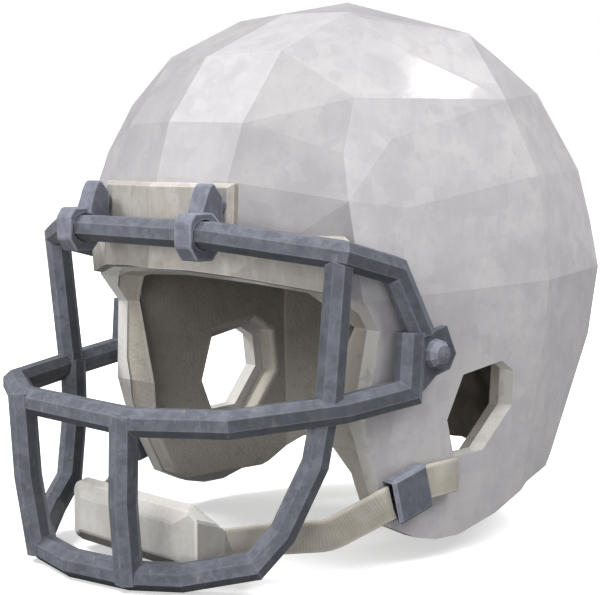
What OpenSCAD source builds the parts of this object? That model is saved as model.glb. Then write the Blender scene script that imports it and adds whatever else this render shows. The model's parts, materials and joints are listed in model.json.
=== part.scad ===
// Football helmet: a faceted shell with a foam liner, a bar face guard that swings
// up on its two top clips, and a chin cup on straps that swings on two snap studs.
// Frame: the helmet faces -Y, +Z is up, x = 0 is the middle, the wearer's left is +X.
// All sizes in millimetres.

/* [Shell] */
// outer width of the shell over the ears
shell_width = 232; // [226:2:240]
// outer length of the shell, brow to back
shell_length = 275; // [267:2:285]
// height of the crown above the surface that the helmet stands on
shell_height = 296; // [288:2:304]
// wall of the hard shell
shell_wall = 10; // [8:0.5:11]
// thickness of the foam liner inside the shell
liner_wall = 13; // [10:0.5:14]
// how far the liner's edge stays back from the shell's rim
liner_setback = 1; // [0.5:0.5:4]
// how far the liner's lowest edge stays above the shell's lowest edge
liner_foot = 7; // [5:0.5:9]
// how far each ear hole is drawn larger or smaller than its nominal outline
ear_hole_grow = 0; // [-3:0.5:2]

/* [Brow bumper] */
// thickness of the bumper in front of the shell
bumper_thickness = 5; // [4:0.5:6]
// half width of the bumper's upper part
bumper_half_width = 53; // [50:1:54]
// height of the bumper's top edge
bumper_top = 197; // [194:1:199]

/* [Face guard] */
// width of the guard's eight-sided bars across the flats
bar_width = 13.5; // [12:0.5:14]
// how far the front posts stand forward of the middle bar's centre line
post_forward = 2; // [1:0.5:4]
// thickness of each side plate
plate_thickness = 9; // [8:0.5:10]
// diameter of each side plate's lock screw shank
lock_screw_diameter = 5; // [4:0.5:6]
// radius of the lock screw's dome head
dome_radius = 7.8; // [6.8:0.1:8]

/* [Top clips] */
// width of each top clip along the bar
clip_width = 13; // [11:0.5:15]
// wall of the clip's loop round the bar
clip_wall = 3; // [2.6:0.2:3.8]
// clearance on diameter between the bar's corners and the clip's bore
bar_clearance = 0.6; // [0.4:0.1:1]
// diameter of the clip screw's shank
clip_screw_diameter = 5; // [4:0.5:6]

/* [Side studs] */
// diameter of the stud that the side plate hooks over
stud_diameter = 7; // [6:0.5:8]
// clearance on width between the stud and the plate's open slot
slot_clearance = 0.8; // [0.6:0.1:1.4]
// clearance on diameter between each fastener and its hole in the shell
hole_clearance = 0.4; // [0.2:0.1:0.6]

/* [Chin strap] */
// wall of the chin cup
cup_wall = 5; // [4:0.5:6]
// thickness of the soft pad in the chin cup
cup_pad = 5; // [4:0.5:6]
// width of the strap
strap_width = 18; // [15:1:19]
// thickness of the strap
strap_thickness = 3; // [2.4:0.2:3.4]
// length of each snap buckle along the strap
buckle_length = 25; // [22:1:27]
// height of each snap buckle
buckle_height = 24; // [23:1:27]
// diameter of the snap stud that each buckle turns on
snap_diameter = 7; // [6:0.5:8]

/* [Hidden] */
$fn = 48;

// every station below is given for the nominal size and stretched by these
sx = shell_width / 232;
sy = shell_length / 275;
sz = shell_height / 296;
function at(p) = [p[0] * sx, p[1] * sy, p[2] * sz];

// the shell's outer stations, one column each from the brow's middle round the
// wearer's left to the back's middle, from the crown down: [half width, y, z]
col_brow = [[0, -20, 287], [0, -74, 262], [0, -99, 228], [0, -107, 200], [0, -108, 178],
  [0, -108, 155], [0, -107, 118], [0, -101, 58], [0, -94, -12]];
col_temple = [[44, -14, 286], [46, -62, 264], [47, -89, 227], [47, -99, 198], [49, -99, 176],
  [52, -98, 152], [53, -96, 118], [49, -90, 58], [44, -82, -12]];
col_corner = [[54, -12, 282], [70, -25, 263], [92, -55, 239], [98, -68, 212], [106, -72, 189],
  [107, -69.5, 168], [110, -66, 140], [100, -61, 66], [92, -54, -12]];
col_cheek = [[54, 22, 282], [80, -5, 263], [104, -41, 219], [110, -35, 185], [111, -26, 153],
  [111, -20, 134], [110, 2, 98], [105, 0, 50], [97, -8, -12]];
col_side = [[46, 62, 281], [74, 47, 276], [104, 44, 240], [115, 58, 200], [116, 62, 172],
  [116, 67, 144], [114, 65, 107], [107, 61, 55], [97, 56, -12]];
col_rear = [[30, 88, 279], [44, 106, 266], [72, 108, 245], [84, 131, 202], [86, 140, 173],
  [87, 147, 146], [86, 140, 107], [88, 105, 46], [72, 92, -12]];
col_nape = [[16, 98, 278], [22, 124, 263], [38, 146, 237], [46, 160, 200], [48, 164, 172],
  [49, 166, 146], [46, 161, 104], [46, 136, 48], [38, 112, -12]];
col_back = [[0, 101, 278], [0, 128, 262], [0, 150, 236], [0, 163, 200], [0, 166.8, 172],
  [0, 167, 146], [0, 164, 104], [0, 146, 48], [0, 118, -12]];
crown = [0, 28, 296];
COLS = [col_brow, col_temple, col_corner, col_cheek, col_side, col_rear, col_nape, col_back];
ROWS = 9;
RING = 14;

function flip(p) = [-p[0], p[1], p[2]];
function station(k, r) =
  let (j = (k + RING) % RING)
  r < 0 ? at(crown)
  : j <= 7 ? at(COLS[j][min(r, ROWS - 1)])
  : flip(at(COLS[RING - j][min(r, ROWS - 1)]));
function unit(v) = v / norm(v);
// outward normal at a station, from its four neighbours
function outward(k, r) =
  unit(cross(station(k, r - 1) - station(k, r + 1), station(k - 1, r) - station(k + 1, r)));
function inset(k, r, t) = station(k, r) - t * outward(k, r);

// the shell's convex body, moved inward by t, with its foot at z = foot: hull() spans
// the flat facets between the stations, so the polyhedron only carries the points
module dome(t, foot = -30) {
  pts = concat(
    [at(crown) - [0, 0, t]],
    [for (r = [0 : ROWS - 1]) for (k = [0 : RING - 1]) inset(k, r, t)],
    [for (k = [0 : RING - 1]) let (p = inset(k, ROWS - 1, t)) [p[0], p[1], foot]]);
  hull() polyhedron(points = pts, faces = [[for (i = [0 : len(pts) - 1]) i]]);
}

// the side view of everything below the rim: face opening, jaw edge and neck edge, as [y, z]
rim_line = [[-300, 153], [-108, 153], [-66, 141], [-54, 125], [-59, 80], [-55, 64],
  [-45, 41], [-36, 22.5], [-18, 14.5], [-4, 11.5], [12, 11.5], [40, 19], [67, 32], [92, 35],
  [140, 42], [300, 42], [300, -60], [-300, -60]];
// height of the jaw edge's lowest stretch, and how much larger the liner's ear holes are
jaw_low = 11.5;
liner_ear = 6;
ear_line = [[6, 98], [34, 103], [43.5, 97], [44.5, 78], [25, 56], [4, 55], [-3, 75]];
// a prism along X with the outline [y, z], grown by g
module through_x(line, g = 0) {
  rotate([0, -90, 0]) linear_extrude(height = 400, center = true)
    offset(delta = g) polygon([for (p = line) [p[1] * sz, p[0] * sy]]);
}
module below_rim(g = 0) { through_x(rim_line, g); }
module ear_holes(g = 0) { through_x(ear_line, g + ear_hole_grow); }

// a prism with flat sides swept along a route with mitred bends; the first and last
// points of the route only give the direction of the two end cuts
function dir(p, i) = unit(p[i + 1] - p[i]);
function mitre(p, i) = unit(dir(p, i - 1) + dir(p, i));
function slide(w, d, m) = w - d * (w * m) / (d * m);
function spokes(p, prof, ref, i) =
  i == 0
  ? let (u = unit(cross(ref, dir(p, 0))), v = cross(dir(p, 0), u)) [for (q = prof) q[0] * u + q[1] * v]
  : [for (w = spokes(p, prof, ref, i - 1))
      let (r = slide(w, dir(p, i - 1), mitre(p, i)))
      r - dir(p, i) * (r * dir(p, i))];
module swept(p, prof, ref = [0, 0, 1]) {
  n = len(prof);
  last = len(p) - 2;
  pts = [for (i = [1 : last]) for (w = spokes(p, prof, ref, i - 1))
    p[i] + slide(w, dir(p, i - 1), mitre(p, i))];
  polyhedron(points = pts, faces = concat(
    [[for (j = [0 : n - 1]) j]],
    [for (i = [0 : last - 2]) for (j = [0 : n - 1])
      [i * n + (j + 1) % n, i * n + j, (i + 1) * n + j, (i + 1) * n + (j + 1) % n]],
    [[for (j = [n - 1 : -1 : 0]) (last - 1) * n + j]]));
}
bar_corner = bar_width / 2 / cos(22.5);
eight = [for (i = [0 : 7]) bar_corner * [cos(22.5 + 45 * i), sin(22.5 + 45 * i)]];
// end guide: one bar width further along the same line, so that the end is cut square
function before(a, b) = a + (a - b);
function open_route(p) = concat([before(p[0], p[1])], p, [before(p[len(p) - 1], p[len(p) - 2])]);
module bar(p, ref = [0, 0, 1]) { swept(open_route(p), eight, ref); }

// the hinge line of the face guard runs along X through both top clips
hinge_y = -108 * sy - bumper_thickness - bar_corner - 1.2;
hinge_z = 172.5 * sz;
clip_x = (bumper_half_width - 8.5) * sx;

// routes of the guard's bars, the wearer's left half
side_x = 119;
top_half = [[120.5, -89, 164.5], [side_x, -54, 155.5], [side_x, -33, 119]];
middle_half = [[48, -158, 84], [92, -136, 86], [113, -83, 90], [side_x, -44, 95], [side_x, -42, 124.5]];
lower_half = [[39, -153.5, 6.85], [62, -140, 8], [87, -116, 14.5]];
jaw_half = [[107, -88, 92], [102.5, -90.5, 63], [91.5, -102, 28.5], [87, -116, 14.5]];
eye_half = [[119, -90, 166], [109.4, -87.9, 92]];
front_half = [[45, -159.8 - post_forward, 88], [42, -158.6 - post_forward, 45], [39, -153.2 - post_forward, 4]];
lower_front = [0, -161, 6.85];
function pts(h) = [for (p = h) at(p)];

// a bar that crosses the middle: its left half starts at the mirror plane, where the
// guide point is its own next point mirrored, and the right half is its mirror image
module crossing_bar(p, guide) {
  for (s = [0, 1]) mirror([s, 0, 0]) swept(concat([flip(p[1])], p, [guide]), eight);
}
function ahead(p) = before(p[len(p) - 1], p[len(p) - 2]);

// the top bar is straight and square to X from clip to clip, and a little past them
module top_bar_solid() {
  h = concat([[0, hinge_y, hinge_z], [clip_x + clip_width + 3.5, hinge_y, hinge_z]], pts(top_half));
  crossing_bar(h, ahead(h));
}
module middle_bar_solid() {
  h = concat([at([0, -158, 84])], pts(middle_half));
  crossing_bar(h, ahead(h));
}
module lower_bar_solid() {
  crossing_bar(concat([at(lower_front)], pts(lower_half)), at(jaw_half[2]));
}

// side plate: outline [y, z], fixed to the ends of the top and middle bars
plate_line = [[-42, 121.5], [-20.5, 126.5], [-13.5, 112], [-18, 104.5], [-28, 102], [-42, 91.5]];
// the plate's outer face lies just inside the outer edge of the bar that it is fixed to
plate_out = side_x * sx + 0.295 * bar_width;
plate_in = plate_out - plate_thickness;
stud_y = -28.3 * sy;
stud_z = 113 * sz;
slot_depth = 5;
module plate_block(extra = 0) {
  translate([plate_in - extra, 0, 0]) rotate([0, 90, 0])
    linear_extrude(height = plate_thickness + 2 * extra)
      polygon([for (p = plate_line) [-p[1] * sz, p[0] * sy]]);
}
// everything below the plate's sloping top edge, where the top bar ends
module below_plate_top() {
  a = plate_line[0];
  b = plate_line[1];
  rotate([0, -90, 0]) linear_extrude(height = 400, center = true)
    polygon([for (p = [2 * a - b, 2 * b - a, [0, 60], [-70, 60]]) [p[1] * sz, p[0] * sy]]);
}
module along_x(r, x0, x1, y, z, sides = 48) {
  translate([x0, y, z]) rotate([0, 90, 0]) cylinder(r = r, h = x1 - x0, $fn = sides);
}
module along_y(r, y0, y1, x, z, sides = 48) {
  translate([x, y0, z]) rotate([-90, 0, 0]) cylinder(r = r, h = y1 - y0, $fn = sides);
}
// the slot in the plate's inner face: a round seat for the stud, and an arc about the
// hinge that leads to it, open at the top rear, wider and shallower than the seat
slot_width = stud_diameter + slot_clearance;
lead_width = slot_width + 0.6;
lead_depth = slot_depth - 0.4;
stud_reach = norm([stud_y - hinge_y, stud_z - hinge_z]);
stud_angle = atan2(stud_z - hinge_z, stud_y - hinge_y);
module open_slot() {
  along_x(slot_width / 2, plate_in - 1, plate_in + slot_depth, stud_y, stud_z);
  translate([plate_in - 1, hinge_y, hinge_z]) rotate([0, 90, 0])
    rotate([0, 0, 90 + stud_angle])
      rotate_extrude(angle = 16)
        translate([stud_reach - lead_width / 2, 0]) square([lead_width, lead_depth + 1]);
}

// chin strap: the tail lies along the jaw, square to X, and the buckle turns on the snap
// stud; tilt is the strap's slope in the buckle, grip the half length of the straight part
strap_x = 109 * sx;
snap_y = -30 * sy;
snap_z = 42.6 * sz;
tilt = 15;
buckle_wall = 1.2;
slot_play = 0.2;
buckle_shift = -3.5;
grip = buckle_length / 2 + 1.5;
buckle_depth = 8;
buckle_in = strap_x - strap_thickness / 2 - slot_play - buckle_wall;
buckle_out = buckle_in + buckle_depth;
socket = snap_diameter + 0.6;
snap_end = buckle_out - 2.6;

// side stud and snap stud: each has a flange between the shell and the liner
stud_bore = stud_diameter + hole_clearance;
snap_bore = snap_diameter + hole_clearance;
stud_seat = 111.5 * sx - shell_wall;
snap_seat = 103.5 * sx - shell_wall;
stud_flange = 8;
snap_flange = 6;
flange_wall = 2.5;
// the clip screw runs along Y from inside the shell into the clip's block
screw_x = clip_x + clip_width / 2 - 3.5;
// a round boss carries the clip's block back to the bumper
boss_radius = 4.4;
screw_z = (bumper_top - 11) * sz;
screw_seat = shell_wall - 100 * sy;
screw_tip = hinge_y + 8;
screw_bore = clip_screw_diameter + hole_clearance;

module fastener_bores() {
  for (s = [0, 1]) mirror([s, 0, 0]) {
    along_x(stud_bore / 2, stud_seat - 1, stud_seat + 40, stud_y, stud_z);
    along_x(snap_bore / 2, snap_seat - 1, snap_seat + 40, snap_y, snap_z);
    along_y(screw_bore / 2, screw_seat - 50, screw_seat + 1, screw_x, screw_z);
  }
}
module flange_pockets() {
  for (s = [0, 1]) mirror([s, 0, 0]) {
    along_x(stud_flange + 0.4, stud_seat - flange_wall - 0.3, stud_seat, stud_y, stud_z);
    along_x(snap_flange + 0.4, snap_seat - flange_wall - 0.3, snap_seat, snap_y, snap_z);
    along_y(6.2, screw_seat, screw_seat + 3.5, screw_x, screw_z);
  }
}

module shell() {
  color("Gainsboro") difference() {
    dome(0);
    dome(shell_wall, -40);
    below_rim();
    ear_holes();
    fastener_bores();
    flange_pockets();
  }
}
module liner() {
  color("Tan") difference() {
    dome(shell_wall);
    dome(shell_wall + liner_wall, -40);
    below_rim(liner_setback);
    translate([-200, -200, -100]) cube([400, 400, 100 + jaw_low * sz + liner_foot]);
    ear_holes(liner_ear);
    fastener_bores();
    flange_pockets();
  }
}

// comfort pads follow the liner's inside: a slab of it inside a plan outline
pad_wall = 13;
pad_in = shell_wall + liner_wall;
module pad_slab() {
  difference() {
    intersection() {
      dome(pad_in);
      children();
    }
    dome(pad_in + pad_wall, -40);
  }
}
module crown_pad() {
  color("DimGray") pad_slab()
    translate([0, 28 * sy, 200 * sz]) rotate([0, 0, 22.5]) cylinder(r = 50, h = 100, $fn = 8);
}
module front_pad() {
  color("DimGray") pad_slab()
    translate([-40, -110 * sy, 166 * sz]) cube([80, 60, 46 * sz]);
}
module back_pad() {
  color("DimGray") pad_slab()
    translate([-40, 90 * sy, 39 * sz]) cube([80, 80, 93 * sz]);
}

// a band of the shell's outside, bumper_thickness proud of it
module brow_bumper() {
  color("Tan") difference() {
    dome(-bumper_thickness);
    dome(0, -40);
    below_rim();
    translate([-200, -200, bumper_top * sz]) cube([400, 400, 200]);
    translate([-200, -74 * sy, 0]) cube([400, 400, 400]);
    for (s = [0, 1]) mirror([s, 0, 0])
      translate([bumper_half_width * sx, -200, 172 * sz]) cube([200, 400, 200]);
    fastener_bores();
  }
}

// top clip: a loop round the bar under a block that the clip screw pulls on to the bumper
loop_bore = 2 * bar_corner + bar_clearance;
loop_in = loop_bore / 2;
// side views of the loop and the block, as [y, z] from the hinge
loop_line = [[-loop_in - clip_wall * 0.6, -6], [-loop_in - clip_wall * 0.6, 6], [-6, loop_in + clip_wall],
  [5, loop_in + clip_wall], [loop_in + clip_wall, 5], [loop_in + clip_wall, -6],
  [5, -loop_in - clip_wall * 1.7], [-5, -loop_in - clip_wall * 1.7]];
block_line = [[1.5, -4], [1.5, 11], [4.2, 19.5], [6.5, 24], [9, 25], [14, 19], [14, -4]];
// how far the block reaches behind the hinge, and how far it starts inboard of the loop
block_rear = 14;
block_inward = 3;
module top_clip() {
  color("SlateGray") difference() {
    union() {
      translate([clip_x, hinge_y, hinge_z]) rotate([0, 90, 0]) {
        linear_extrude(height = clip_width) polygon([for (p = loop_line) [-p[1], p[0]]]);
        translate([0, 0, -block_inward]) linear_extrude(height = clip_width - 1)
          polygon([for (p = block_line) [-p[1], p[0]]]);
      }
      along_y(boss_radius, hinge_y + block_rear - 1, -60, screw_x, screw_z, 12);
    }
    dome(-bumper_thickness);
    along_x(loop_in, clip_x - block_inward - 1, clip_x + clip_width + 1, hinge_y, hinge_z);
    along_y(clip_screw_diameter / 2, screw_tip, -60, screw_x, screw_z);
  }
}
module clip_screw() {
  color("Silver") {
    along_y(clip_screw_diameter / 2, screw_tip, screw_seat + 1, screw_x, screw_z);
    along_y(5, screw_seat, screw_seat + 3.2, screw_x, screw_z);
  }
}
module side_stud() {
  color("Silver") {
    along_x(stud_diameter / 2, stud_seat - 1, plate_in + lead_depth - 0.4, stud_y, stud_z);
    along_x(stud_flange, stud_seat - flange_wall, stud_seat, stud_y, stud_z);
  }
}
module strap_stud() {
  color("Silver") {
    along_x(snap_diameter / 2, snap_seat - 1, snap_end - 0.4, snap_y, snap_z);
    along_x(snap_flange, snap_seat - flange_wall, snap_seat, snap_y, snap_z);
  }
}
module lock_screw() {
  color("SlateGray") {
    along_x(lock_screw_diameter / 2, plate_in + slot_depth, plate_out, stud_y, stud_z);
    translate([plate_out, stud_y, stud_z]) rotate([0, 90, 0]) {
      cylinder(r1 = dome_radius, r2 = dome_radius * 0.92, h = dome_radius * 0.35, $fn = 10);
      translate([0, 0, dome_radius * 0.35])
        cylinder(r1 = dome_radius * 0.92, r2 = dome_radius * 0.62, h = dome_radius * 0.33, $fn = 10);
      translate([0, 0, dome_radius * 0.68])
        cylinder(r1 = dome_radius * 0.62, r2 = dome_radius * 0.2, h = dome_radius * 0.18, $fn = 10);
    }
  }
}

// chin cup: a plan outline and a side view, both inset by g; its hollow is open at the
// top and at the rear, where the chin goes in
cup_rear = -98;
function cup_plan(rear) = [[-58, rear], [-58, -111], [-53, -125], [-40.5, -130], [40.5, -130],
  [53, -125], [58, -111], [58, rear]];
cup_side = [[cup_rear, 22], [-112, 27], [-121, 38.5], [-126, 36], [-130, 29.5], [-130, 11], [-124, 4],
  [cup_rear, 7]];
cup_hollow = [[-60, 120], [-116, 120], [-116, 44], [-130, 29], [-130, 11], [-124, 4], [-60, 9]];
cup_front = [[-45, 39], [45, 39], [58, 27.5], [58, 13], [46, 4], [-46, 4], [-58, 13], [-58, 27.5]];
module cup_prism(g, plan, side) {
  intersection() {
    translate([0, 0, -50]) linear_extrude(height = 200)
      offset(delta = -g) polygon([for (p = plan) [p[0] * sx, p[1] * sy]]);
    rotate([0, -90, 0]) linear_extrude(height = 200, center = true)
      offset(delta = -g) polygon([for (p = side) [p[1] * sz, p[0] * sy]]);
  }
}
module cup_form(g = 0) {
  intersection() {
    cup_prism(g, cup_plan(cup_rear), cup_side);
    rotate([90, 0, 0]) linear_extrude(height = 200)
      offset(delta = -g) polygon([for (p = cup_front) [p[0] * sx, p[1] * sz]]);
  }
}
module cup_inside(g) { cup_prism(g, cup_plan(-60), cup_hollow); }
module chin_cup() {
  color("Wheat") difference() {
    cup_form();
    cup_inside(cup_wall);
  }
}
module chin_cup_pad() {
  color("DimGray") difference() {
    intersection() {
      cup_form(1);
      cup_inside(cup_wall);
    }
    cup_inside(cup_wall + cup_pad);
  }
}
function in_grip(d) = [strap_x, snap_y + (buckle_shift + d) * cos(tilt),
  snap_z + (buckle_shift + d) * sin(tilt)];
strap_route = concat([[strap_x, 2.5 * sy, 46.2 * sz]], [in_grip(grip), in_grip(-grip)],
  pts([[98, -55, 30], [88, -68, 21.5], [70, -88, 20], [58, -105, 18], [52, -112, 17.5]]));
strap_hole = snap_diameter + 0.8;
module strap_prism() {
  t = strap_thickness / 2;
  w = strap_width / 2;
  swept(open_route(strap_route), [[t, w], [-t, w], [-t, -w], [t, -w]]);
}
module strap() {
  color("Wheat") difference() {
    strap_prism();
    cup_form();
    translate([0, -200, -50]) cube([50 * sx, 120, 200]);
    along_x(strap_hole / 2, 90, 130, snap_y, snap_z);
  }
}
module buckle() {
  play = strap_thickness + 2 * slot_play;
  color("SlateGray") difference() {
    translate([0, snap_y, snap_z]) rotate([tilt, 0, 0]) difference() {
      translate([buckle_in, buckle_shift - buckle_length / 2, -buckle_height / 2])
        cube([buckle_depth, buckle_length, buckle_height]);
      translate([strap_x - play / 2, -50, -strap_width / 2 - 2 * slot_play])
        cube([play, 100, strap_width + 4 * slot_play]);
    }
    along_x(socket / 2, 90, snap_end, snap_y, snap_z);
  }
}

module guard_top_bar() {
  color("SlateGray") difference() {
    top_bar_solid();
    below_plate_top();
    middle_bar_solid();
  }
}
module guard_middle_bar() { color("SlateGray") middle_bar_solid(); }
module guard_lower_bar() { color("SlateGray") lower_bar_solid(); }
module eye_post() {
  color("SlateGray") difference() {
    bar(pts(eye_half), [0, 1, 0]);
    top_bar_solid();
    middle_bar_solid();
  }
}
module jaw_post() {
  color("SlateGray") difference() {
    h = pts(jaw_half);
    swept(concat([before(h[0], h[1])], h, [at(lower_half[1])]), eight, [0, 1, 0]);
    middle_bar_solid();
  }
}
module front_post() {
  color("SlateGray") difference() {
    bar(pts(front_half), [0, 1, 0]);
    middle_bar_solid();
    lower_bar_solid();
  }
}
module side_plate() {
  color("SlateGray") difference() {
    plate_block();
    middle_bar_solid();
    open_slot();
    along_x(lock_screw_diameter / 2, plate_in + 1, plate_out + 1, stud_y, stud_z);
  }
}
module top_clip_left() { top_clip(); }
module top_clip_right() { mirror([1, 0, 0]) top_clip(); }
module clip_screw_left() { clip_screw(); }
module clip_screw_right() { mirror([1, 0, 0]) clip_screw(); }
module side_stud_left() { side_stud(); }
module side_stud_right() { mirror([1, 0, 0]) side_stud(); }
module strap_stud_left() { strap_stud(); }
module strap_stud_right() { mirror([1, 0, 0]) strap_stud(); }
module guard_front_post_left() { front_post(); }
module guard_front_post_right() { mirror([1, 0, 0]) front_post(); }
module guard_eye_post_left() { eye_post(); }
module guard_eye_post_right() { mirror([1, 0, 0]) eye_post(); }
module guard_jaw_post_left() { jaw_post(); }
module guard_jaw_post_right() { mirror([1, 0, 0]) jaw_post(); }
module side_plate_left() { side_plate(); }
module side_plate_right() { mirror([1, 0, 0]) side_plate(); }
module lock_screw_left() { lock_screw(); }
module lock_screw_right() { mirror([1, 0, 0]) lock_screw(); }
module strap_left() { strap(); }
module strap_right() { mirror([1, 0, 0]) strap(); }
module buckle_left() { buckle(); }
module buckle_right() { mirror([1, 0, 0]) buckle(); }

shell();
liner();
crown_pad();
front_pad();
back_pad();
brow_bumper();
top_clip_left();
top_clip_right();
clip_screw_left();
clip_screw_right();
side_stud_left();
side_stud_right();
strap_stud_left();
strap_stud_right();
guard_top_bar();
guard_middle_bar();
guard_lower_bar();
guard_front_post_left();
guard_front_post_right();
guard_eye_post_left();
guard_eye_post_right();
guard_jaw_post_left();
guard_jaw_post_right();
side_plate_left();
side_plate_right();
lock_screw_left();
lock_screw_right();
chin_cup();
chin_cup_pad();
strap_left();
strap_right();
buckle_left();
buckle_right();
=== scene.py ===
"""A faceted football helmet: finishes for its rigid pieces, and its soft pieces made anew.

Lengths are metres in the frame of the solids: the helmet faces -Y, +Z is up and the
wearer's left is +X. Names that end in _mm hold millimetres.
"""

import json
import math

import bmesh
import bpy
import numpy as np
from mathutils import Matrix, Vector


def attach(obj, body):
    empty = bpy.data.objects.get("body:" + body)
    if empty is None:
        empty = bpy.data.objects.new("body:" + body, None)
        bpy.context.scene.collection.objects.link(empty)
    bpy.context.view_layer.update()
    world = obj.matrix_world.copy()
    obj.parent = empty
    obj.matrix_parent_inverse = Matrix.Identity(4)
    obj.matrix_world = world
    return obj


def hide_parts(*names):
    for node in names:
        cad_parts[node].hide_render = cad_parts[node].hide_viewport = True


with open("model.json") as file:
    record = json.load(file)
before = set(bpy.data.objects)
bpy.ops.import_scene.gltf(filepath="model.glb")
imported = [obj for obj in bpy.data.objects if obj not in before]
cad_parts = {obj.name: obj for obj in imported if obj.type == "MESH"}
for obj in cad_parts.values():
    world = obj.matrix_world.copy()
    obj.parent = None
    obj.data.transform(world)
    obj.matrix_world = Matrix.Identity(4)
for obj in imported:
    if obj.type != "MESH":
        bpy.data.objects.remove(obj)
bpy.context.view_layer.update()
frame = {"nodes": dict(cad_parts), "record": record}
nodes = frame["nodes"]

MM = 0.001
HEAD_MIDDLE = Vector((0.0, 0.02, 0.14))
TONE_STOPS = (0.36, 0.5, 0.64)  # a noise's values that take the dark, middle and light tone


def linear(hex_code):
    """An sRGB hex colour as linear RGBA."""
    srgb = np.array([int(hex_code[i:i + 2], 16) for i in (1, 3, 5)]) / 255
    low = srgb / 12.92
    high = ((srgb + 0.055) / 1.055) ** 2.4
    return (*np.where(srgb <= 0.04045, low, high), 1.0)


def add(tree, kind, values=None, links=None, **settings):
    """Adds one shader node with its settings, its socket values and its incoming links."""
    node = tree.nodes.new("ShaderNode" + kind)
    for name, value in settings.items():
        setattr(node, name, value)
    for socket, value in (values or {}).items():
        node.inputs[socket].default_value = value
    for socket, output in (links or {}).items():
        tree.links.new(output, node.inputs[socket])
    return node


def colour_band(tree, noise, tones):
    """A colour ramp over a noise: its dark, middle and light hex colours at TONE_STOPS."""
    ramp = add(tree, "ValToRGB", links={"Fac": noise})
    ramp.color_ramp.elements.new(0.5)
    for element, position, tone in zip(ramp.color_ramp.elements, TONE_STOPS, tones):
        element.position = position
        element.color = linear(tone)
    return ramp.outputs["Color"]


def blend_colours(tree, share, under, over):
    """under, covered by over where share is 1; either may be a hex colour or an output."""
    factor, under_socket, over_socket, result = 0, 6, 7, 2  # the Mix node's colour sockets
    mix = add(tree, "Mix", links={factor: share}, data_type="RGBA")
    for socket, colour in ((under_socket, under), (over_socket, over)):
        if isinstance(colour, str):
            mix.inputs[socket].default_value = linear(colour)
        else:
            tree.links.new(colour, mix.inputs[socket])
    return mix.outputs[result]


def start_finish(name):
    """A material with its tree, its Principled shader and its Object coordinates."""
    material = bpy.data.materials.new(name)
    material.use_nodes = True
    tree = material.node_tree
    shader = tree.nodes["Principled BSDF"]
    where = add(tree, "TexCoord").outputs["Object"]
    return material, tree, shader, where


def edge_bends(tree, reach_mm, starts=0.995, full=0.93):
    """1 at the bends between facets and 0 on flats: how far the rounded normal leans.

    The mask reaches reach_mm from a bend. It starts and is full where the cosine of the
    lean has the two values given.
    """
    rounded = add(tree, "Bevel", {"Radius": reach_mm * MM}, samples=4)
    flat = add(tree, "NewGeometry")
    lean = add(tree, "VectorMath", operation="DOT_PRODUCT",
               links={0: rounded.outputs["Normal"], 1: flat.outputs["Normal"]})
    return add(tree, "MapRange", {"From Min": starts, "From Max": full},
               {"Value": lean.outputs["Value"]}).outputs["Result"]


def directions(tree):
    """Where a surface faces by its object's own axes: outputs X, Y and Z, each -1 to 1."""
    normal = add(tree, "TexCoord").outputs["Normal"]
    return add(tree, "SeparateXYZ", links={0: normal}).outputs


def sideways(tree):
    """How far a surface faces to either side, 0 to 1: the size of its direction's X."""
    across = add(tree, "Math", links={0: directions(tree)["X"]}, operation="ABSOLUTE")
    return across.outputs["Value"]


def cut_faces(tree):
    """1 on faces that don't face sideways at all: the rims and ear holes, cut along X."""
    none, full = 0.012, 0.004
    return add(tree, "MapRange", {"From Min": none, "From Max": full},
               {"Value": sideways(tree)}).outputs["Result"]


def shaded_sides(tree):
    """1 on facets that face down, 0.85 on those that face sideways, and 0 on the others."""
    side_none, side_full, side_depth = 0.78, 0.93, 0.85
    under_none, under_full = -0.35, -0.75
    side = add(tree, "MapRange", {"From Min": side_none, "From Max": side_full,
                                  "To Max": side_depth}, {"Value": sideways(tree)})
    under = add(tree, "MapRange", {"From Min": under_none, "From Max": under_full},
                {"Value": directions(tree)["Z"]})
    return add(tree, "Math", links={0: side.outputs["Result"], 1: under.outputs["Result"]},
               operation="MAXIMUM").outputs["Value"]


def facet_light_and_shade(tree, colour):
    """Painted light and shade: the colour made lighter or darker by the way each facet faces.

    Where a facet's own direction is (x, y, z), its colour is times
    1 + 0.1 sin(10 x) + 0.055 sin(11 z) + step, and the step is 0.04 on facets that are
    upright or face up and -0.05 on those that lean over towards the floor.
    """
    level_z, leaning_z, up_step, leaning_step = -0.01, -0.05, 0.04, -0.05
    facing = directions(tree)
    waves = []
    for axis, pace, swing in (("X", 10.0, 0.1), ("Z", 11.0, 0.055)):
        angle = add(tree, "Math", {1: pace}, {0: facing[axis]}, operation="MULTIPLY")
        wave = add(tree, "Math", links={0: angle.outputs["Value"]}, operation="SINE")
        waves.append(add(tree, "Math", {1: swing, 2: 0.5}, {0: wave.outputs["Value"]},
                         operation="MULTIPLY_ADD").outputs["Value"])
    step = add(tree, "MapRange", {"From Min": leaning_z, "From Max": level_z,
                                  "To Min": leaning_step, "To Max": up_step},
               {"Value": facing["Z"]})
    both = add(tree, "Math", links={0: waves[0], 1: waves[1]}, operation="ADD")
    value = add(tree, "Math", links={0: both.outputs["Value"], 1: step.outputs["Result"]},
                operation="ADD")
    toned = add(tree, "HueSaturation", links={"Value": value.outputs["Value"], "Color": colour})
    return toned.outputs["Color"]


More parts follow.
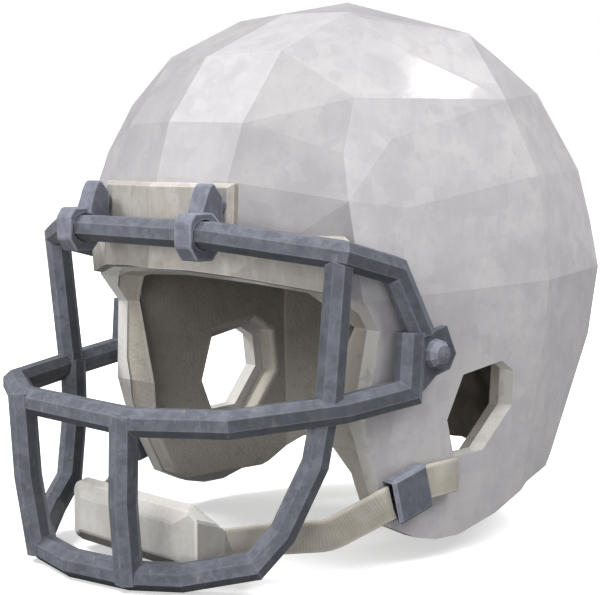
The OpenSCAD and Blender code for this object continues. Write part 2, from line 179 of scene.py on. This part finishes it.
def painted(name, body, stain, edge, blotch_mm, roughness, cut=None, coat=0.0,
            edge_share=0.6, stain_share=0.5, patch_mm=3.2, patch_share=0.22,
            stroke_mm=(9, 3), stroke_share=0.25, scuff=None, shade=None, facets=False):
    """A moulded or coated finish: cloudy and patchy body colours, strokes, stains, paler edges.

    body is three hex colours from dark to light; stain, edge, cut, scuff and shade are one
    each. Clouds are blotch_mm wide. Patches are square cells patch_mm wide, each of one
    tone. Strokes are noise drawn out along Z by stroke_mm, the length and the width of one
    stroke. A cut colour is that of the rims and ear holes. A scuff colour shows in a few
    rubbed places. The edge colour along the bends between facets is partly wear and partly
    painted highlight. A shade colour is painted shade on the facets that face sideways or
    down, and the facet switch paints light and shade on each facet by the way it faces. coat
    is the weight of a clear coat with a slow ripple in it.
    """
    edge_reach_mm, stain_size = 1.2, 0.35  # a stain is that part of a blotch
    grain_mm, grain_height_mm = 1.6, 0.03
    ripple_mm, ripple_height_mm = 7, 0.12
    scuffs_per_stroke, scuff_share, shade_share = 0.7, 0.5, 0.7
    smoother, rougher = roughness - 0.06, roughness + 0.08
    material, tree, shader, where = start_finish(name)

    clouds = add(tree, "TexNoise", {"Scale": 1 / (blotch_mm * MM), "Detail": 3.0,
                                    "Roughness": 0.6}, {"Vector": where})
    patches = add(tree, "TexVoronoi", {"Scale": 1 / (patch_mm * MM), "Randomness": 0.8},
                  {"Vector": where}, distance="CHEBYCHEV")
    patch_tone = add(tree, "SeparateColor", links={"Color": patches.outputs["Color"]})
    patchy = add(tree, "Math", {1: patch_share}, {0: patch_tone.outputs["Red"]},
                 operation="MULTIPLY")
    cloudy = add(tree, "Math", {1: 1 - patch_share}, {0: clouds.outputs["Fac"]},
                 operation="MULTIPLY")
    tone = add(tree, "Math", links={0: patchy.outputs["Value"], 1: cloudy.outputs["Value"]},
               operation="ADD")
    colour = colour_band(tree, tone.outputs["Value"], body)
    if cut:
        colour = blend_colours(tree, cut_faces(tree), colour, cut)

    long_mm, wide_mm = stroke_mm
    drawn = add(tree, "Mapping", {"Scale": (1 / wide_mm / MM, 1 / wide_mm / MM,
                                            1 / long_mm / MM)}, {"Vector": where})
    strokes = add(tree, "TexNoise", {"Scale": 1.0, "Detail": 2.0, "Roughness": 0.5},
                  {"Vector": drawn.outputs["Vector"]})
    stroke_mask = add(tree, "MapRange", {"From Min": 0.42, "From Max": 0.6,
                                         "To Max": stroke_share},
                      {"Value": strokes.outputs["Fac"]})
    colour = blend_colours(tree, stroke_mask.outputs["Result"], colour, stain)
    stains = add(tree, "TexNoise", {"Scale": 1 / (stain_size * blotch_mm * MM), "Detail": 4.0,
                                    "Roughness": 0.7}, {"Vector": where})
    stain_mask = add(tree, "MapRange", {"From Min": 0.56, "From Max": 0.66,
                                        "To Max": stain_share},
                     {"Value": stains.outputs["Fac"]})
    colour = blend_colours(tree, stain_mask.outputs["Result"], colour, stain)
    if scuff:
        scuffs = add(tree, "TexNoise", {"Scale": scuffs_per_stroke, "Detail": 4.0,
                                        "Roughness": 0.75},
                     {"Vector": drawn.outputs["Vector"]})
        scuff_mask = add(tree, "MapRange", {"From Min": 0.6, "From Max": 0.66,
                                            "To Max": scuff_share},
                         {"Value": scuffs.outputs["Fac"]})
        colour = blend_colours(tree, scuff_mask.outputs["Result"], colour, scuff)
    # painted shade: the shade colour on facets that face sideways or down
    if shade:
        depth = add(tree, "Math", {1: shade_share}, {0: shaded_sides(tree)},
                    operation="MULTIPLY")
        colour = blend_colours(tree, depth.outputs["Value"], colour, shade)
    # paler edges along the bends between facets: partly wear, partly painted highlight
    edges = add(tree, "Math", {1: edge_share}, {0: edge_bends(tree, edge_reach_mm)},
                operation="MULTIPLY")
    colour = blend_colours(tree, edges.outputs["Value"], colour, edge)
    # painted light and shade: each facet lighter or darker by the way it faces
    if facets:
        colour = facet_light_and_shade(tree, colour)
    tree.links.new(colour, shader.inputs["Base Color"])

    gloss = add(tree, "MapRange", {"To Min": smoother, "To Max": rougher},
                {"Value": clouds.outputs["Fac"]})
    tree.links.new(gloss.outputs["Result"], shader.inputs["Roughness"])
    grain = add(tree, "TexNoise", {"Scale": 1 / (grain_mm * MM), "Detail": 2.0},
                {"Vector": where})
    relief = add(tree, "Bump", {"Strength": 0.35, "Distance": grain_height_mm * MM},
                 {"Height": grain.outputs["Fac"]})
    tree.links.new(relief.outputs["Normal"], shader.inputs["Normal"])
    if coat:
        shader.inputs["Coat Weight"].default_value = coat
        shader.inputs["Coat Roughness"].default_value = 0.09
        ripple = add(tree, "TexNoise", {"Scale": 1 / (ripple_mm * MM), "Detail": 3.0,
                                        "Roughness": 0.65}, {"Vector": where})
        wave = add(tree, "Bump", {"Strength": 0.5, "Distance": ripple_height_mm * MM},
                   {"Height": ripple.outputs["Fac"]})
        tree.links.new(wave.outputs["Normal"], shader.inputs["Coat Normal"])
    return material


def padding(name, body, stain, weave_mm, cut=None, crease_and_light=None):
    """Foam under a knitted cloth: cloudy body colours and a fine knit in relief.

    A cut colour is that of the rims and ear holes. With a second, paler colour given, the
    cloth is paler along the bends between flat panels, and painted light makes panels that
    face up and forwards paler than those that face down and the cloth paler from 10 cm
    above the floor down to 3.5 cm.
    """
    cloud_mm, spot_mm, spot_share = 22, 6, 0.2
    up_and_forwards, facing_share = (0.25, -0.45, 0.85), 0.35
    lit_low_starts, lit_low_full, lit_low_share = 0.10, 0.035, 0.95
    bend_reach_mm, bend_starts, bend_full, bend_share = 3.0, 0.9992, 0.985, 0.55
    material, tree, shader, where = start_finish(name)

    clouds = add(tree, "TexNoise", {"Scale": 1 / (cloud_mm * MM), "Detail": 3.0,
                                    "Roughness": 0.6}, {"Vector": where})
    colour = colour_band(tree, clouds.outputs["Fac"], body)
    if cut:
        colour = blend_colours(tree, cut_faces(tree), colour, cut)
    if crease_and_light:
        # painted light: panels that face up and forwards are paler
        facing = add(tree, "VectorMath", {1: up_and_forwards},
                     {0: add(tree, "TexCoord").outputs["Normal"]}, operation="DOT_PRODUCT")
        paler = add(tree, "MapRange", {"From Min": -0.3, "From Max": 0.5,
                                       "To Max": facing_share},
                    {"Value": facing.outputs["Value"]})
        colour = blend_colours(tree, paler.outputs["Result"], colour, crease_and_light)
        # painted light: the cloth is paler from 10 cm above the floor down to 3.5 cm
        height = add(tree, "SeparateXYZ", links={0: where})
        low = add(tree, "MapRange", {"From Min": lit_low_starts, "From Max": lit_low_full,
                                     "To Max": lit_low_share}, {"Value": height.outputs["Z"]})
        colour = blend_colours(tree, low.outputs["Result"], colour, crease_and_light)
        worn = edge_bends(tree, bend_reach_mm, bend_starts, bend_full)
        bends = add(tree, "Math", {1: bend_share}, {0: worn}, operation="MULTIPLY")
        colour = blend_colours(tree, bends.outputs["Value"], colour, crease_and_light)
    spots = add(tree, "TexNoise", {"Scale": 1 / (spot_mm * MM), "Detail": 3.0},
                {"Vector": where})
    spot_mask = add(tree, "MapRange", {"From Min": 0.55, "From Max": 0.68,
                                       "To Max": spot_share},
                    {"Value": spots.outputs["Fac"]})
    colour = blend_colours(tree, spot_mask.outputs["Result"], colour, stain)
    tree.links.new(colour, shader.inputs["Base Color"])

    knit = add(tree, "TexVoronoi", {"Scale": 1 / (weave_mm * MM)}, {"Vector": where})
    relief = add(tree, "Bump", {"Strength": 0.6, "Distance": 0.25 * weave_mm * MM},
                 {"Height": knit.outputs["Distance"]})
    tree.links.new(relief.outputs["Normal"], shader.inputs["Normal"])
    shader.inputs["Roughness"].default_value = 0.9
    shader.inputs["Sheen Weight"].default_value = 0.15
    return material


def webbing(name, body, edge, pick_mm):
    """Woven polyester webbing: cross ribs every pick_mm along the strap, paler selvedges.

    The strap's UV map gives metres along it as U, and as V 0 at its middle line and 1 at
    its edges.
    """
    cloud_mm, rib_height_mm = 14, 0.12
    selvedge_starts, selvedge_full, selvedge_share = 0.76, 0.9, 0.85
    material, tree, shader, where = start_finish(name)

    clouds = add(tree, "TexNoise", {"Scale": 1 / (cloud_mm * MM), "Detail": 3.0},
                 {"Vector": where})
    colour = colour_band(tree, clouds.outputs["Fac"], body)
    thread = add(tree, "SeparateXYZ", links={0: add(tree, "TexCoord").outputs["UV"]})
    selvedge = add(tree, "MapRange", {"From Min": selvedge_starts, "From Max": selvedge_full,
                                      "To Max": selvedge_share},
                   {"Value": thread.outputs["Y"]})
    colour = blend_colours(tree, selvedge.outputs["Result"], colour, edge)
    tree.links.new(colour, shader.inputs["Base Color"])

    turns = add(tree, "Math", {1: 2 * math.pi / (pick_mm * MM)}, {0: thread.outputs["X"]},
                operation="MULTIPLY")
    ribs = add(tree, "Math", links={0: turns.outputs["Value"]}, operation="SINE")
    relief = add(tree, "Bump", {"Strength": 0.3, "Distance": rib_height_mm * MM},
                 {"Height": ribs.outputs["Value"]})
    tree.links.new(relief.outputs["Normal"], shader.inputs["Normal"])
    shader.inputs["Roughness"].default_value = 0.8
    return material


# injection-moulded shell plastic, clear-coated: pale grey and cloudy, with one soft gloss,
# painted light and shade on each facet by the way it faces, and paler edges that are partly
# wear and partly painted highlight; its cut rims and ear holes show the bare cream plastic
shell_abs = painted(
    "moulded_abs_pale_grey", ("#c7c4c8", "#cecbcf", "#d6d3d4"), stain="#bfb9bb", edge="#f0edec",
    cut="#f3f0ea", blotch_mm=30, roughness=0.5, coat=0.6, edge_share=0.3, stain_share=0.4,
    patch_mm=9, patch_share=0.16, stroke_mm=(16, 7), stroke_share=0.1, facets=True)
# moulded bumper rubber: matt beige with paler edges, partly rubbed and partly painted
# highlight, painted shade underneath and on its sides, and painted light and shade on
# each facet
bumper_rubber = painted(
    "moulded_bumper_beige", ("#c4beb6", "#ccc6be", "#d3cec7"), stain="#b3aca4", edge="#ece8e1",
    blotch_mm=16, roughness=0.62, patch_mm=6, shade="#6f675c", facets=True)
# polyester powder coat over aluminium bars: slate blue-grey, with paler edges that are
# partly rubbed and partly painted highlight, a few beige scuffs, and painted shade on its
# sides and undersides
guard_coat = painted(
    "powder_coat_slate", ("#6a6d76", "#767a84", "#828691"), stain="#70737c", edge="#aeb2bf",
    blotch_mm=10, roughness=0.5, edge_share=0.3, stain_share=0.6, scuff="#a8a196",
    shade="#303238")
# glass-filled nylon, moulded: slate like the bars, paler on its shoulders, partly wear
# and partly painted highlight, with painted shade on its sides and undersides
clip_nylon = painted(
    "moulded_nylon_slate", ("#868996", "#9195a2", "#9da1af"), stain="#777a86", edge="#b9bdca",
    blotch_mm=9, roughness=0.5, edge_share=0.45, shade="#303238")
# polyethylene cup, moulded: cream and matt, nearly white on its chamfers, partly rubbed
# and partly painted highlight, with painted shade on its sides and undersides and painted
# light and shade on each facet
cup_plastic = painted(
    "moulded_cup_cream", ("#efebe4", "#f4f1eb", "#f9f6f2"), stain="#e3ddd4", edge="#fdfbf8",
    blotch_mm=14, roughness=0.55, patch_mm=6, shade="#3a3733", facets=True)
# zinc-plated steel fasteners: grey metal, slightly cloudy
screw_zinc = painted(
    "zinc_plated_steel", ("#8d8f94", "#9a9ca1", "#a7a9ad"), stain="#7d7f84", edge="#c6c8cc",
    blotch_mm=8, roughness=0.35)
screw_zinc.node_tree.nodes["Principled BSDF"].inputs["Metallic"].default_value = 1.0
# closed-cell foam under knitted cloth: brown-grey inside, bare tan foam on the cut rim, with
# painted light on the panels that face up and forwards and on the lowest part, and paler
# along the panels' bends; the knit is drawn at 2 mm, coarser than the real half
# millimetre, so that it shows
liner_foam = padding("liner_knit_brown_grey", ("#7a746b", "#837d73", "#8c867c"),
                     stain="#7c766c", weave_mm=2.0, cut="#b0a89b", crease_and_light="#e0dad0")
pad_cloth = padding("pad_knit_dark", ("#5d584f", "#676259", "#716b62"),
                    stain="#554f47", weave_mm=2.0)
# woven polyester webbing, beige: a fine cross grain of ribs 1.6 mm apart, as on heavy
# webbing, and paler selvedges
strap_weave = webbing("webbing_beige", ("#b5aea2", "#c0b9ae", "#c8c2b8"),
                      edge="#d9d3c8", pick_mm=1.6)

finish_of = {
    "shell": shell_abs,
    "brow_bumper": bumper_rubber,
    "top_clip": clip_nylon,
    "clip_screw": screw_zinc,
    "side_stud": screw_zinc,
    "strap_stud": screw_zinc,
    "guard": guard_coat,
    "side_plate": guard_coat,
    "lock_screw": clip_nylon,
    "chin_cup": cup_plastic,
    "buckle": clip_nylon,
    "liner": liner_foam,
    "strap": strap_weave,
    "crown_pad": pad_cloth,
    "front_pad": pad_cloth,
    "back_pad": pad_cloth,
    "chin_cup_pad": pad_cloth,
}


def finish_for(name):
    """The finish of a node: that of the longest key that the node's name starts with."""
    kinds = [kind for kind in finish_of if name.startswith(kind)]
    return finish_of[max(kinds, key=len)]


for node_name in nodes:
    mesh = nodes[node_name].data
    mesh.materials.clear()
    mesh.materials.append(finish_for(node_name))

record = frame["record"]
body_of = {node: body for body, held in record["behaviour"]["bodies"].items() for node in held}


def place(name, mesh, node):
    """A new piece that stands for a node, on its body and its finish."""
    mesh.materials.clear()
    mesh.materials.append(finish_for(node))
    piece = bpy.data.objects.new(name, mesh)
    bpy.context.scene.collection.objects.link(piece)
    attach(piece, body_of[node])
    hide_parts(node)
    return piece


def vectors(elements, name):
    """The named vector of each vertex or face of a mesh, as an n x 3 array."""
    flat = np.empty(len(elements) * 3)
    elements.foreach_get(name, flat)
    return flat.reshape(-1, 3)


def shade_smooth(mesh):
    """Lets light run smoothly over all of a mesh's faces."""
    mesh.polygons.foreach_set("use_smooth", np.ones(len(mesh.polygons), bool))


def merged_copy(name, node, flat_deg=0.6):
    """A copy of a solid's mesh, its triangles joined and facets within flat_deg made whole."""
    same_place = 0.02 * MM
    mesh = nodes[node].data.copy()
    mesh.name = name
    work = bmesh.new()
    work.from_mesh(mesh)
    bmesh.ops.remove_doubles(work, verts=work.verts, dist=same_place)
    bmesh.ops.dissolve_limit(work, angle_limit=math.radians(flat_deg), verts=work.verts,
                             edges=work.edges)
    work.to_mesh(mesh)
    work.free()
    return mesh


def shown_edges(mesh, shown, above_mm):
    """1 for each edge that is eased, else 0.

    It is above a height, bends outwards by over 25 degrees at a shown face, and is longer
    than 1.2 mm.
    """
    least_bend, least_length = math.radians(25), 1.2 * MM
    work = bmesh.new()
    work.from_mesh(mesh)
    weights = np.array([float(edge.calc_face_angle_signed(0) > least_bend
                              and any(shown(face) for face in edge.link_faces)
                              and min(vert.co.z for vert in edge.verts) > above_mm * MM
                              and edge.calc_length() > least_length) for edge in work.edges])
    work.free()
    return weights


def eased(name, node, chamfer_mm, steps=1, flat_deg=0.6, above_mm=-1.0,
          shown=lambda face: True):
    """A moulded piece: its solid's form with the shown edges between facets cut back."""
    mesh = merged_copy(name, node, flat_deg)
    weights = mesh.attributes.new("bevel_weight_edge", "FLOAT", "EDGE")
    weights.data.foreach_set("value", shown_edges(mesh, shown, above_mm))
    piece = place(name, mesh, node)
    ease = piece.modifiers.new("ease", "BEVEL")
    ease.width = chamfer_mm * MM
    ease.segments = steps
    ease.limit_method = "WEIGHT"
    ease.use_clamp_overlap = False
    return piece


def outer_face(face):
    """True on faces within about 53 degrees of straight away from the head's middle."""
    away = face.calc_center_median() - HEAD_MIDDLE
    return face.normal.dot(away.normalized()) > 0.6


def inner_face(face):
    """True on faces that look towards the middle of the head, rims and ear holes apart."""
    away = face.calc_center_median() - HEAD_MIDDLE
    cut_along_x = abs(face.normal.x) <= 0.02
    return face.normal.dot(away) < 0 and not cut_along_x


def settled(piece):
    """The piece's mesh as its modifiers leave it."""
    graph = bpy.context.evaluated_depsgraph_get()
    graph.update()
    return bpy.data.meshes.new_from_object(piece.evaluated_get(graph))


def seat_planes(node, toward):
    """Planes, as normals and offsets, of a solid's faces that have all of it on one side.

    Only faces within 60 degrees of the direction toward its seat count, or every such face
    where toward is (0, 0, 0).
    """
    mesh = nodes[node].data
    normals = vectors(mesh.polygons, "normal")
    offsets = (normals * vectors(mesh.polygons, "center")).sum(axis=1)
    reach = (normals @ vectors(mesh.vertices, "co").T).max(axis=1)
    outer = reach < offsets + 0.2 * MM
    if any(toward):
        outer &= normals @ np.array(toward) > 0.5 * np.linalg.norm(toward)
    return normals[outer], offsets[outer]


def blown_up(piece, start, pressure, cap_mm):
    """The piece's points after 20 frames of cloth pressure, each moved by cap_mm at most."""
    frames = 20
    cloth = piece.modifiers.new("pressure", "CLOTH")
    cloth.settings.quality = 6
    cloth.settings.use_pressure = True
    cloth.settings.uniform_pressure_force = pressure
    cloth.settings.effector_weights.gravity = 0
    cloth.point_cache.frame_end = frames
    for step in range(1, frames + 1):
        bpy.context.scene.frame_set(step)
    move = vectors(settled(piece).vertices, "co") - start
    bpy.context.scene.frame_set(1)
    piece.modifiers.clear()
    length = np.linalg.norm(move, axis=1, keepdims=True)
    return start + move * np.minimum(1, cap_mm * MM / np.maximum(length, 1e-9))


def swollen_pad(name, node, toward, voxel_mm, shrink_mm, pressure, cap_mm,
                channels=(), sag_mm=0):
    """A pad: the solid's form blown up by cloth pressure and held back to its seat.

    toward is the direction of the seat. channels are (axis, place in mm, depth in mm): a
    sewn groove of that depth across the pad, as deep as depth * exp(-(distance / 3 mm)^2),
    fading out from 6 mm to 2 mm above the seat. sag_mm is how far the foam droops at its
    lowest point, which eases to nothing 2 cm higher.
    """
    clearance, groove_mm, fade, sag_height_mm = 0.3 * MM, 3, 4 * MM, 20
    piece = place(name, merged_copy(name, node), node)
    shape = piece.modifiers.new("voxels", "REMESH")
    shape.mode = "VOXEL"
    shape.voxel_size = voxel_mm * MM
    mesh = settled(piece)
    piece.modifiers.clear()
    piece.data = mesh
    mesh.name = name
    points = vectors(mesh.vertices, "co")
    points = points - shrink_mm * MM * vectors(mesh.vertices, "normal")
    mesh.vertices.foreach_set("co", points.ravel())
    mesh.update()
    points = blown_up(piece, points, pressure, cap_mm)

    above_lowest_mm = (points[:, 2] - points[:, 2].min()) / MM
    points[:, 2] -= sag_mm * MM * np.clip(1 - above_lowest_mm / sag_height_mm, 0, 1)
    facing, offset = seat_planes(node, toward)
    for _ in range(3):
        above = points @ facing.T - offset + clearance
        worst = above.argmax(axis=1)
        points = points - np.maximum(above.max(axis=1), 0)[:, None] * facing[worst]
    clear = np.clip(-(points @ facing.T - offset).max(axis=1) / fade - 0.5, 0, 1)
    for axis, middle, depth in channels:
        distance = (points[:, axis] / MM - middle) / groove_mm
        groove = (depth * MM * np.exp(-distance ** 2) * clear)[:, None]
        points = points + groove * np.array(toward, float)
    mesh.vertices.foreach_set("co", points.ravel())
    mesh.update()
    mesh.materials.clear()
    mesh.materials.append(finish_for(node))
    shade_smooth(mesh)
    smooth = piece.modifiers.new("smooth", "SUBSURF")
    smooth.levels = 1
    smooth.render_levels = 1


def strap_route():
    """The chin strap's middle line in the solids, in mm: tail, buckle, jaw and cup."""
    buckle_tilt, half_grip, grip_shift = math.radians(15), 14, -3.5
    grip = [(109, -30 + along * math.cos(buckle_tilt), 42.6 + along * math.sin(buckle_tilt))
            for along in (grip_shift + half_grip, grip_shift - half_grip)]
    return np.array([(109, 2.5, 46.2), *grip, (98, -55, 30), (88, -68, 21.5), (70, -88, 20),
                     (58, -105, 18), (55.5, -107.9, 17.8)], float)


def strap(name, node, side):
    """Webbing: a squared ellipse |a/t|^6 + |b/w|^6 = 1 carried along the strap's route.

    Each bend is eased into a parabola from 5 mm before it to 5 mm after it. The section is
    carried from run to run as the solid's is: slid along the run to the mitre's plane.
    """
    half_thick, half_wide, power, ease = 1.45, 8.9, 6, 5.0
    bend_steps, ring = 7, 32
    route = strap_route()
    runs = np.diff(route, axis=0)
    lengths = np.linalg.norm(runs, axis=1)
    runs /= lengths[:, None]

    # the section's two directions on each run, from the tail forwards
    thick = [np.cross((0, 0, 1), runs[0])]
    thick[0] /= np.linalg.norm(thick[0])
    wide = [np.cross(runs[0], thick[0])]
    for before, after in zip(runs[:-1], runs[1:]):
        mitre = (before + after) / np.linalg.norm(before + after)
        for kept in (thick, wide):
            slid = kept[-1] - before * (kept[-1] @ mitre) / (before @ mitre)
            flat = slid - after * (slid @ after)
            kept.append(flat / np.linalg.norm(flat))

    # the middle line with its eased bends, and the two directions at each of its points
    cut = np.minimum(ease, 0.45 * np.minimum(lengths[:-1], lengths[1:]))[:, None, None]
    t = np.linspace(0, 1, bend_steps)[None, :, None]
    bends = (route[1:-1, None] - (1 - t) ** 2 * cut * runs[:-1, None]
             + t ** 2 * cut * runs[1:, None]).reshape(-1, 3)
    line = np.vstack([route[:1], bends, route[-1:]])
    across = []
    for kept in (np.array(thick), np.array(wide)):
        turned = ((1 - t) * kept[:-1, None] + t * kept[1:, None]).reshape(-1, 3)
        turned = np.vstack([kept[:1], turned, kept[-1:]])
        across.append(turned / np.linalg.norm(turned, axis=1, keepdims=True))

    # rings of points round the line, joined by quads and closed by a face at each end
    around = np.linspace(0, 2 * np.pi, ring, endpoint=False)
    a, b = (half * np.sign(wave) * np.abs(wave) ** (2 / power)
            for half, wave in ((half_thick, np.cos(around)), (half_wide, np.sin(around))))
    points = (line[:, None] + a[None, :, None] * across[0][:, None]
              + b[None, :, None] * across[1][:, None])
    count = len(line)
    points = points.reshape(-1, 3) * (side, 1, 1) * MM
    i, j = np.meshgrid(np.arange(count - 1), np.arange(ring), indexing="ij")
    k = (j + 1) % ring
    quads = np.stack([i * ring + j, i * ring + k, (i + 1) * ring + k, (i + 1) * ring + j],
                     axis=-1).reshape(-1, 4)
    ends = [np.arange(ring)[::-1], (count - 1) * ring + np.arange(ring)]
    if side < 0:
        quads, ends = quads[:, ::-1], [end[::-1] for end in ends]
    mesh = bpy.data.meshes.new(name)
    mesh.from_pydata(points.tolist(), [], quads.tolist() + [end.tolist() for end in ends])

    # the UV map: metres along the line, and 0 to 1 from the middle to the edge
    steps = np.linalg.norm(np.diff(line, axis=0), axis=1)
    along = np.concatenate([[0], np.cumsum(steps)]) * MM
    threads = np.stack([np.repeat(along, ring), np.tile(np.abs(b) / half_wide, count)], axis=1)
    corners = np.empty(len(mesh.loops), int)
    mesh.loops.foreach_get("vertex_index", corners)
    mesh.uv_layers.new(name="threads").data.foreach_set("uv", threads[corners].ravel())
    shade_smooth(mesh)
    mesh.update()
    place(name, mesh, node)


# rigid pieces whose moulded edges are eased enough to see
eased("bumper_moulding", "brow_bumper", 2.0, flat_deg=4, above_mm=160, shown=outer_face)
eased("cup_moulding", "chin_cup", 0.8, flat_deg=2)
for hand, side in (("left", 1), ("right", -1)):
    eased(f"buckle_body_{hand}", f"buckle_{hand}", 1.6)
    eased(f"clip_body_{hand}", f"top_clip_{hand}", 0.7)
    strap(f"strap_web_{hand}", f"strap_{hand}", side)

# foam and cloth: the lining keeps its flat panels, and the pads swell
lining = eased("helmet_lining", "liner", 1.8, steps=2, shown=inner_face)
swollen_pad("crown_cushion", "crown_pad", (0, 0, 1), voxel_mm=4, shrink_mm=0.8, pressure=8,
            cap_mm=7, channels=((0, -17, 3), (0, 17, 3)))
swollen_pad("brow_cushion", "front_pad", (0, -1, 0.3), voxel_mm=3.5, shrink_mm=0.8, pressure=8,
            cap_mm=6, channels=((0, -14, 3), (0, 14, 3)))
swollen_pad("nape_cushion", "back_pad", (0, 1, 0), voxel_mm=4, shrink_mm=0.4, pressure=12,
            cap_mm=9, channels=((2, 70, 3), (2, 100, 3)), sag_mm=7)
swollen_pad("chin_cushion", "chin_cup_pad", (0, 0, 0), voxel_mm=1.6, shrink_mm=0.4, pressure=4,
            cap_mm=2)


def make_floor():
    """A pale plain square under the helmet, white to the camera and grey to the light."""
    half_side, depth = 20.0, 0.2 * MM
    glow_starts, glow_full = 0.3, 1.1  # metres from the helmet's middle
    mesh = bpy.data.meshes.new("floor")
    corners = np.array([[-1, -1], [1, -1], [1, 1], [-1, 1]]) * half_side
    mesh.from_pydata([(x, y, -depth) for x, y in corners], [], [(0, 1, 2, 3)])
    floor = bpy.data.objects.new("floor", mesh)
    bpy.context.scene.collection.objects.link(floor)
    material, tree, shader, where = start_finish("matt_studio_floor")
    shader.inputs["Roughness"].default_value = 0.9
    seen = add(tree, "LightPath").outputs["Is Camera Ray"]
    tree.links.new(blend_colours(tree, seen, "#8c8c8c", "#f4f4f4"), shader.inputs["Base Color"])
    reach = add(tree, "VectorMath", links={0: where}, operation="LENGTH")
    far = add(tree, "MapRange", {"From Min": glow_starts, "From Max": glow_full,
                                 "To Min": 0.5, "To Max": 1.0},
              {"Value": reach.outputs["Value"]})
    glow = add(tree, "Math", links={0: seen, 1: far.outputs["Result"]}, operation="MULTIPLY")
    shader.inputs["Emission Color"].default_value = linear("#ffffff")
    tree.links.new(glow.outputs["Value"], shader.inputs["Emission Strength"])
    mesh.materials.append(material)


def make_light(name, azimuth, elevation, distance, size, watts, glossy):
    """Only a glossy light is mirrored in the clear coat; the others light it as a matt one.
    """
    target = np.array([0.0, 0.0, 0.15])
    a, e = math.radians(azimuth), math.radians(elevation)
    away = np.array([math.sin(a) * math.cos(e), -math.cos(a) * math.cos(e), math.sin(e)])
    lamp = bpy.data.lights.new(name, "AREA")
    lamp.shape = "SQUARE"
    lamp.size = size
    lamp.energy = watts
    light = bpy.data.objects.new(name, lamp)
    light.location = target + away * distance
    light.rotation_euler = (math.pi / 2 - e, 0, a)
    light.visible_glossy = glossy
    bpy.context.scene.collection.objects.link(light)


def make_world():
    """White from all round: full where the camera sees it, and a faint fill on the helmet."""
    fill = 0.22
    world = bpy.data.worlds.new("studio")
    bpy.context.scene.world = world
    world.use_nodes = True
    sky = world.node_tree
    seen = add(sky, "LightPath").outputs["Is Camera Ray"]
    strength = add(sky, "MapRange", {"To Min": fill, "To Max": 1.0}, {"Value": seen})
    background = sky.nodes["Background"]
    background.inputs["Color"].default_value = linear("#ffffff")
    sky.links.new(strength.outputs["Result"], background.inputs["Strength"])


def make_camera():
    """The photograph's view: azimuth 48, looking 5.35 degrees down, on a long lens."""
    azimuth, down = 48, 5.353
    camera_data = bpy.data.cameras.new("camera")
    camera_data.lens = 96.43
    camera_data.sensor_width = 36
    camera = bpy.data.objects.new("camera", camera_data)
    camera.location = (0.6646, -0.6066, 0.2150)
    camera.rotation_euler = (math.radians(90 - down), 0, math.radians(azimuth))
    bpy.context.scene.collection.objects.link(camera)
    bpy.context.scene.camera = camera


# name, azimuth and elevation in degrees, distance and side in metres, watts, glossy
lights = (
    ("key", -58, 44, 1.7, 0.5, 21.5, False),
    ("side_fill", 106, 48, 2.0, 1.0, 26, False),
    ("front_fill", 24, 4, 1.7, 1.2, 14, False),
    ("right_fill", 66, 4, 1.8, 1.0, 4, False),
    ("back_fill", 215, 35, 2.0, 1.2, 17, False),
    ("gloss", 154.2, 49.9, 1.56, 0.07, 0.45, True),
)
make_floor()
for light in lights:
    make_light(*light)
make_world()
make_camera()
bpy.context.scene.view_settings.view_transform = "Standard"
